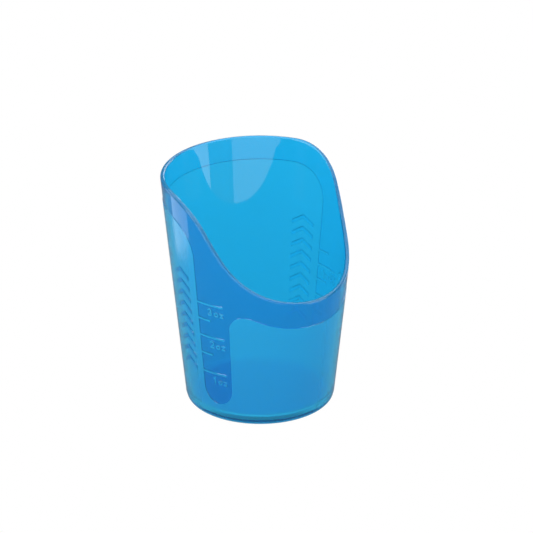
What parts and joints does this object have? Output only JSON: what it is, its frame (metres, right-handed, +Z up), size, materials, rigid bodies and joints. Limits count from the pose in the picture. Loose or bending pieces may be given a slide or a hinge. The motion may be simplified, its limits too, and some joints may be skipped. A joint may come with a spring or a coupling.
{
  "type": "cut-out drinking cup",
  "caption": "Clear blue moulded feeding cup with a flared round wall, a low curved cut-out in the rim, smooth windows with measuring ridges and matt side panels.",
  "frame": {"origin": "centre of the flat underside, on the wall's axis, where the cup stands", "axes": "+Z up along the wall's axis, from the base to the rim; -Y towards the middle of the cut-out; +X to the right seen from the cut-out side"},
  "size_m": [0.0658, 0.0629, 0.0815],
  "materials": {
    "clear_blue_plastic": "polished"
  },
  "bodies": {
    "root": {"cup_body": "clear_blue_plastic"}
  },
  "joints": []
}
